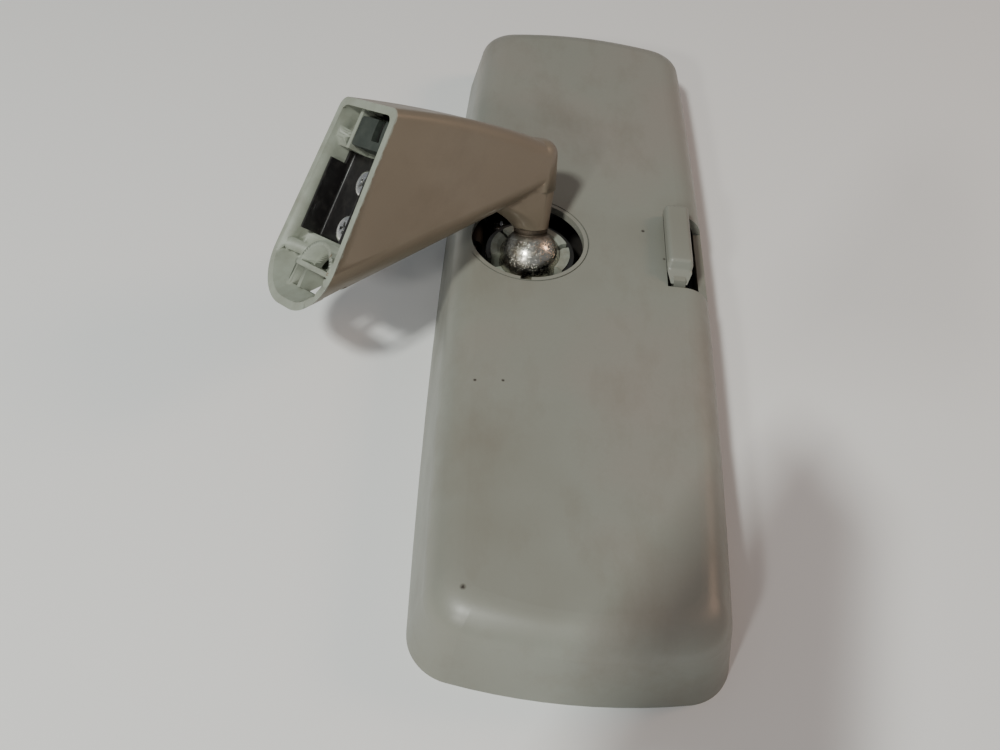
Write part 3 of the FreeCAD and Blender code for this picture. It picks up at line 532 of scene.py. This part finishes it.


# %% [markdown]
# ## The ball on its shank
#
# The ball is turned from one bar with its shank and a grooved collar that stops against the
# foot's neck. It starts as a sphere with its pole towards the foot. The cap at the pole is
# removed, and the open edge is extruded up in rings, each scaled to the radius that the lathe
# would leave there. The steel is brightest around its middle. It is darker and duller over the
# collar and the top of the ball. It is also darker towards its lower end, where it sits in the
# socket, and that darkening is partly dirt and partly painted shade.

# %% Ball steel
ball_steel, ball_tree, ball_shader, ball_where = start_finish("ball_steel", (0.62, 0.60, 0.54), 0.2, 1.0)
cloud = noise(ball_tree, ball_where, 260, 6.0, 0.65)
pitted = level(ball_tree, noise(ball_tree, ball_where, 1500, 4.0, 0.75), 0.53, 0.64)
steel = blend_colours(ball_tree, level(ball_tree, cloud, 0.46, 0.66, 0.0, 0.75),
                      (0.62, 0.60, 0.53), (0.20, 0.16, 0.11))
pit_share = level(ball_tree, pitted, 0.0, 1.0, 0.0, 0.6)
steel = blend_colours(ball_tree, pit_share, steel, (0.09, 0.075, 0.06))
from_middle = ball_tree.nodes.new("ShaderNodeVectorMath")
from_middle.operation = "SUBTRACT"
from_middle.inputs[1].default_value = ball_middle
ball_tree.links.new(ball_where, from_middle.inputs[0])
up_neck = ball_tree.nodes.new("ShaderNodeVectorMath")
up_neck.operation = "DOT_PRODUCT"
up_neck.inputs[1].default_value = neck_way
ball_tree.links.new(from_middle.outputs["Vector"], up_neck.inputs[0])
# Darker and duller over the collar and the top of the ball.
dark_collar = level(ball_tree, up_neck.outputs["Value"], 0.0056, 0.0068, 0.0, 0.93)
steel = blend_colours(ball_tree, dark_collar, steel, (0.085, 0.062, 0.042))
# Painted shade, partly dirt: the ball darkens towards its lower end, where it sits in the socket.
dirt_and_shade_below = level(ball_tree, up_neck.outputs["Value"], -0.0015, -0.0055, 0.0, 0.85)
steel = blend_colours(ball_tree, dirt_and_shade_below, steel, (0.06, 0.045, 0.035))
ball_tree.links.new(steel, ball_shader.inputs["Base Color"])
dull = level(ball_tree, cloud, 0.35, 0.7, 0.13, 0.38)
rough_steel = blend_colours(ball_tree, dark_collar, dull, (0.6, 0.6, 0.6))
ball_tree.links.new(rough_steel, ball_shader.inputs["Roughness"])
bumps(ball_tree, ball_shader, (cloud, 0.00012, 0.5), (pitted, 0.00005, 0.7))
print("ball steel:", ball_steel.name)

# %% Turn the ball
ball_radius = 0.008
cap_radius = 0.0040
neck_rings = [(0.0068, 0.0040), (0.0066, 0.0044), (0.00705, 0.0044), (0.0071, 0.0040),
              (0.0075, 0.0040), (0.00755, 0.0044), (0.0083, 0.0044), (0.0083, 0.0026)]


def stand_on_neck(piece):
    """Moves a piece drawn at the origin, with +Z up, to the ball with +Z along the neck."""
    only(piece)
    turn = neck_way.to_track_quat("Z", "Y").to_matrix().to_4x4()
    piece.data.transform(Matrix.Translation(ball_middle) @ turn)


def pick(piece, test):
    """In edit mode, selects the vertices whose place passes a test."""
    bpy.ops.object.mode_set(mode="EDIT")
    bpy.ops.mesh.select_all(action="DESELECT")
    bpy.ops.mesh.select_mode(type="VERT")
    bpy.ops.object.mode_set(mode="OBJECT")
    chosen = 0
    for vertex in piece.data.vertices:
        vertex.select = test(vertex.co)
        chosen += vertex.select
    bpy.ops.object.mode_set(mode="EDIT")
    return chosen


bpy.ops.object.select_all(action="DESELECT")
bpy.ops.mesh.primitive_uv_sphere_add(segments=96, ring_count=72, radius=ball_radius, location=(0, 0, 0))
ball = bpy.context.object
ball.name = "ball_and_shank"
cap_start = math.sqrt(ball_radius ** 2 - cap_radius ** 2)
pick(ball, lambda co: co.z > cap_start)
bpy.ops.mesh.delete(type="VERT")
bpy.ops.object.mode_set(mode="OBJECT")
edge_height = max(v.co.z for v in ball.data.vertices)
edge_radius = math.sqrt(ball_radius ** 2 - edge_height ** 2)
pick(ball, lambda co: co.z > edge_height - 0.00001)
height, radius = edge_height, edge_radius
for next_height, next_radius in neck_rings:
    bpy.ops.mesh.extrude_region_move(TRANSFORM_OT_translate={"value": (0, 0, next_height - height)})
    grow = next_radius / radius
    bpy.ops.transform.resize(value=(grow, grow, 1), center_override=(0, 0, next_height))
    height, radius = next_height, next_radius
bpy.ops.mesh.edge_face_add()
bpy.ops.object.mode_set(mode="OBJECT")
stand_on_neck(ball)
smooth(ball, 35)
settle(ball, ball_steel, "stud", "ball_steel", "ball_stud")


# %% [markdown]
# ## The clip
#
# The clip is one strip of sheet steel folded into a channel, with one wall turned in at the top
# to hold the button on the windscreen. Sheet metal is easiest to make as a surface: a plane for
# the floor, its two long edges extruded up into walls, and one of those extruded again into the
# lip. A bevel rounds the folds while the sheet has no thickness, and Solidify then gives it one,
# so that every bend keeps an even wall.

# %% Place things in the foot
def lay_in_foot(piece, along, across, out):
    """Moves a piece drawn at the origin into the foot's rim, to those three distances."""
    place = rim_along * along + rim_across * across + rim_out * out
    piece.data.transform(Matrix.Translation(place) @ foot_turn.to_4x4())


clip_ends = reach("windscreen_clip", rim_along)
clip_sides = reach("windscreen_clip", rim_across)
clip_heights = reach("windscreen_clip", rim_out)
sheet = 0.0009
clip_length = clip_ends[1] - clip_ends[0]
clip_width = clip_sides[1] - clip_sides[0]
clip_height = clip_heights[1] - clip_heights[0]
far_wall = 0.0054 + sheet
lip_width = 0.0017
notch_length = 0.0032
fold_radius = 0.0011
fold_angle = math.radians(50)
sheet_edge = 0.00012
near_edge = 0.0001
print("clip:", round(clip_length, 4), "x", round(clip_width, 4), "x", round(clip_height, 4), "m")

# %% Fold the clip
bpy.ops.object.select_all(action="DESELECT")
bpy.ops.mesh.primitive_plane_add(size=1.0, location=(0, 0, 0))
clip = bpy.context.object
clip.name = "folded_clip"
bpy.ops.object.mode_set(mode="EDIT")
bpy.ops.mesh.select_all(action="SELECT")
bpy.ops.transform.resize(value=(clip_length, clip_width - sheet, 1))
half_width = (clip_width - sheet) / 2
pick(clip, lambda co: co.y > half_width - near_edge)
bpy.ops.mesh.extrude_region_move(TRANSFORM_OT_translate={"value": (0, 0, far_wall * 0.3)})
bpy.ops.mesh.extrude_region_move(TRANSFORM_OT_translate={"value": (0, 0, far_wall * 0.7 - sheet / 2)})
pick(clip, lambda co: co.y < -half_width + near_edge)
bpy.ops.mesh.extrude_region_move(TRANSFORM_OT_translate={"value": (0, 0, clip_height - sheet)})
bpy.ops.mesh.extrude_region_move(TRANSFORM_OT_translate={"value": (0, lip_width - sheet / 2, 0)})
bpy.ops.mesh.select_all(action="SELECT")
bpy.ops.mesh.bisect(plane_co=(clip_length / 2 - notch_length, 0, 0), plane_no=(1, 0, 0))
bpy.ops.object.mode_set(mode="OBJECT")
bpy.ops.object.mode_set(mode="EDIT")
bpy.ops.mesh.select_mode(type="FACE")
bpy.ops.mesh.select_all(action="DESELECT")
bpy.ops.object.mode_set(mode="OBJECT")
for face in clip.data.polygons:
    far_side = face.center.y > half_width - near_edge
    over_notch = face.center.x > clip_length / 2 - notch_length and far_side
    face.select = over_notch and face.center.z > far_wall * 0.35
bpy.ops.object.mode_set(mode="EDIT")
bpy.ops.mesh.delete(type="FACE")
bpy.ops.mesh.select_all(action="SELECT")
bpy.ops.mesh.normals_make_consistent(inside=False)
bpy.ops.object.mode_set(mode="OBJECT")
apply_modifier(clip, "BEVEL", width=fold_radius, segments=4, limit_method="ANGLE",
               angle_limit=fold_angle)
apply_modifier(clip, "SOLIDIFY", thickness=sheet, offset=0.0)
apply_modifier(clip, "BEVEL", width=sheet_edge, segments=2, limit_method="ANGLE",
               angle_limit=fold_angle)
lay_in_foot(clip, sum(clip_ends) / 2, sum(clip_sides) / 2, clip_heights[0] + sheet / 2)
smooth(clip, 35)
settle(clip, clip_enamel, "foot", "clip_steel", "windscreen_clip")


# %% [markdown]
# ## Screws and their seals
#
# Two plated pan-head screws hold the clip. Each is a cylinder whose top edge is bevelled into a
# dome, with a cross cut by two tapered wedges, one turned by a quarter. A Boolean is right here,
# because a driver's recess really is a shape pressed out of the head. Beside each head lies a
# dab of red lacquer that shows if the screw has been turned: a flattened ball, made a little
# uneven by moving its points at random, with a fixed seed.

# %% Press a cross recess
head_radius, head_height, head_dome = 0.0034, 0.0022, 0.0014
shank_radius, shank_length, shank_middle = 0.0019, 0.0050, -0.0023
blade_length, blade_width, blade_height = 0.0042, 0.00095, 0.0030


def wedge(turn):
    """A tapered blade, wide at the top, for cutting one arm of the cross."""
    bpy.ops.object.select_all(action="DESELECT")
    bpy.ops.mesh.primitive_cube_add(size=1.0, location=(0, 0, 0))
    blade = bpy.context.object
    bpy.ops.object.mode_set(mode="EDIT")
    bpy.ops.mesh.select_all(action="SELECT")
    bpy.ops.transform.resize(value=(blade_length, blade_width, blade_height))
    pick(blade, lambda co: co.z < 0)
    bpy.ops.transform.resize(value=(0.35, 0.6, 1), center_override=(0, 0, -blade_height / 2))
    bpy.ops.object.mode_set(mode="OBJECT")
    blade.data.transform(Matrix.Rotation(turn, 4, "Z"))
    blade.data.transform(Matrix.Translation((0, 0, head_height)))
    return blade


def pan_head(name, turn):
    """A pan-head screw with its head's underside at the origin."""
    bpy.ops.object.select_all(action="DESELECT")
    bpy.ops.mesh.primitive_cylinder_add(vertices=72, radius=head_radius, depth=head_height,
                                        location=(0, 0, head_height / 2))
    screw = bpy.context.object
    screw.name = name
    screw.data.transform(Matrix.Translation(screw.location))
    screw.location = (0, 0, 0)
    apply_modifier(screw, "BEVEL", width=head_dome, segments=6, limit_method="ANGLE",
                   angle_limit=math.radians(60))
    for quarter in (0, math.pi / 2):
        blade = wedge(turn + quarter)
        apply_modifier(screw, "BOOLEAN", object=blade, operation="DIFFERENCE", solver="EXACT")
        bpy.data.objects.remove(blade, do_unlink=True)
    bpy.ops.object.select_all(action="DESELECT")
    bpy.ops.mesh.primitive_cylinder_add(vertices=32, radius=shank_radius, depth=shank_length,
                                        location=(0, 0, shank_middle))
    shank = bpy.context.object
    shank.select_set(True)
    screw.select_set(True)
    bpy.context.view_layer.objects.active = screw
    bpy.ops.object.join()
    return screw


# %% Two screws and two seals
screw_turns = {"upper": 0.9, "lower": 0.25}
dab_half_width, dab_half_height, dab_away = 0.0036, 0.0012, 0.0040
for which, turn in screw_turns.items():
    node = "clip_screw_" + which
    screw = pan_head("pan_head_" + which, turn)
    highest = reach(node, rim_out)[1]
    lay_in_foot(screw, sum(reach(node, rim_along)) / 2, sum(reach(node, rim_across)) / 2,
                highest - head_height)
    smooth(screw, 30)
    settle(screw, plated, "foot", "screw_zinc", node)

    node = "screw_seal_" + which
    sizes = [reach(node, way) for way in (rim_along, rim_across, rim_out)]
    bpy.ops.object.select_all(action="DESELECT")
    bpy.ops.mesh.primitive_ico_sphere_add(subdivisions=5, radius=1.0, location=(0, 0, 0))
    dab = bpy.context.object
    dab.name = "lacquer_dab_" + which
    bpy.ops.object.mode_set(mode="EDIT")
    bpy.ops.mesh.select_all(action="SELECT")
    bpy.ops.transform.vertex_random(offset=0.05, uniform=1.0, normal=0.0, seed=7)
    bpy.ops.mesh.vertices_smooth(factor=0.6, repeat=6)
    dab_half_length = (sizes[0][1] - sizes[0][0]) / 2
    bpy.ops.transform.resize(value=(dab_half_length, dab_half_width, dab_half_height))
    bpy.ops.object.mode_set(mode="OBJECT")
    screw_middle = sum(reach("clip_screw_" + which, rim_across)) / 2
    side = math.copysign(dab_away, sum(sizes[1]) / 2 - screw_middle)
    lay_in_foot(dab, sum(sizes[0]) / 2, screw_middle + side, sizes[2][0])
    print("the dab's middle is", round(side * 1000, 1), "mm across from the screw's")
    only(dab)
    bpy.ops.object.shade_smooth()
    settle(dab, seal_lacquer, "foot", "seal_lacquer", node)


# %% [markdown]
# ## Floor and light
#
# The mirror lies on a plain pale floor. The strongest lamp stands high on the near left, as a
# ceiling lamp would, so that the foot throws its shadow to the right and away from the camera. A
# weaker one lower down brightens the front. A wide, warm one fills from the right, and the pale
# world fills the rest. The wider a lamp is, the softer the edges of its shadows.

# %% Floor
bpy.ops.object.select_all(action="DESELECT")
bpy.ops.mesh.primitive_plane_add(size=6.0, location=(0, 0, cad_box[0][2]))
floor = bpy.context.object
floor.name = "floor"
floor_paint = start_finish("floor_paint", (0.86, 0.86, 0.85), 0.75)[0]
floor.data.materials.append(floor_paint)


# %% Lights
def soft_light(name, place, target, size, power, colour):
    """A square area light that looks at target."""
    lamp = bpy.data.lights.new(name, "AREA")
    lamp.shape = "SQUARE"
    lamp.size = size
    lamp.energy = power
    lamp.color = colour
    holder = bpy.data.objects.new(name, lamp)
    bpy.context.collection.objects.link(holder)
    holder.location = place
    holder.rotation_euler = (Vector(target) - Vector(place)).to_track_quat("-Z", "Y").to_euler()
    return holder


def from_the_side(direction, distance):
    """A place that far from the middle of the mirror, in that direction."""
    return Vector(direction).normalized() * distance


ceiling_way = Vector((-0.376, -0.472, 0.80))
soft_light("ceiling_lamp", from_the_side(ceiling_way, 0.95), (0, 0, 0), 0.09, 6.0, (0.97, 1.0, 0.95))
soft_light("front_lamp", from_the_side((-0.41, -0.75, 0.52), 0.95), (0, 0, 0), 0.07, 1.8,
           (1.0, 0.99, 0.95))
soft_light("warm_fill", from_the_side((0.73, 0.25, 0.63), 0.9), (0, 0, 0), 0.25, 1.6,
           (1.0, 0.62, 0.42))
world = bpy.data.worlds.new("pale_room")
bpy.context.scene.world = world
world.use_nodes = True
sky = next(n for n in world.node_tree.nodes if n.type == "BACKGROUND")
sky.inputs["Color"].default_value = (0.90, 0.95, 1.0, 1)
sky.inputs["Strength"].default_value = 0.22
print("three lights and a pale world")


# %% [markdown]
# ## A flag
#
# Studio lights are shaped with flags: dark cards, held between the lamp and the object. One
# small card here keeps the ceiling lamp off the near right corner of the mirror, where only the
# warm fill reaches. Its edge is soft because the lamp is wide and the card is well above the
# mirror. The camera doesn't see the card.

# %% Flag the near right corner
flag_height = 0.13
edge_near = Vector((-0.012, -0.1185, 0.0187))
edge_far = Vector((0.0400, -0.0360, 0.0187))
corners = (edge_near, Vector((0.040, -0.122, 0.0187)), edge_far, Vector((0.052, -0.060, 0.0187)))
bpy.ops.object.select_all(action="DESELECT")
bpy.ops.mesh.primitive_plane_add(size=1.0)
flag = bpy.context.object
flag.name = "flag"
lift = ceiling_way.normalized() * flag_height
for vertex, corner in zip(flag.data.vertices, corners):
    vertex.co = corner + lift
flag.visible_camera = False
flag.visible_glossy = False
flag_card = start_finish("flag_card", (0.02, 0.02, 0.02), 0.9)[0]
flag.data.materials.append(flag_card)
print("flag stands", flag_height, "m from the mirror, towards the lamp")
